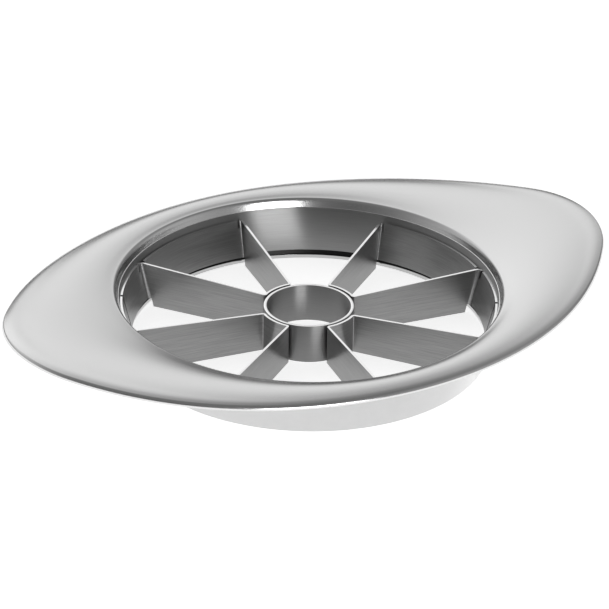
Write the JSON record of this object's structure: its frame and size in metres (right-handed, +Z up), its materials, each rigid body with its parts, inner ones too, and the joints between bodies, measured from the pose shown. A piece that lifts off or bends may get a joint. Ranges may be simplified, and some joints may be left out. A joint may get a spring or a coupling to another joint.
{
  "type": "apple slicer wedger press",
  "caption": "All-steel apple slicer press: an eye-shaped pressed handle frame over a tapered ring, with bent blade strips round a core tube.",
  "frame": {"origin": "middle of the base ring on the plane it stands on, straight under the middle of the core tube", "axes": "+X along the handle from tip to tip, +Y across it, +Z up, from the table to the top of the handle"},
  "size_m": [0.1698, 0.1184, 0.0199],
  "materials": {
    "satin_steel": "fine satin",
    "polished_steel": "mirror polished",
    "brushed_ring_steel": "brushed round the ring",
    "brushed_core_steel": "brushed round the tube",
    "brushed_blade_steel": "brushed along the strip"
  },
  "bodies": {
    "root": {"handle_frame": "satin_steel", "base_ring": "polished_steel", "blade_carrier_ring": "brushed_ring_steel", "core_tube": "brushed_core_steel", "blade_strip_right_rear": "brushed_blade_steel", "blade_strip_left_rear": "brushed_blade_steel", "blade_strip_left_front": "brushed_blade_steel", "blade_strip_right_front": "brushed_blade_steel"}
  },
  "joints": []
}
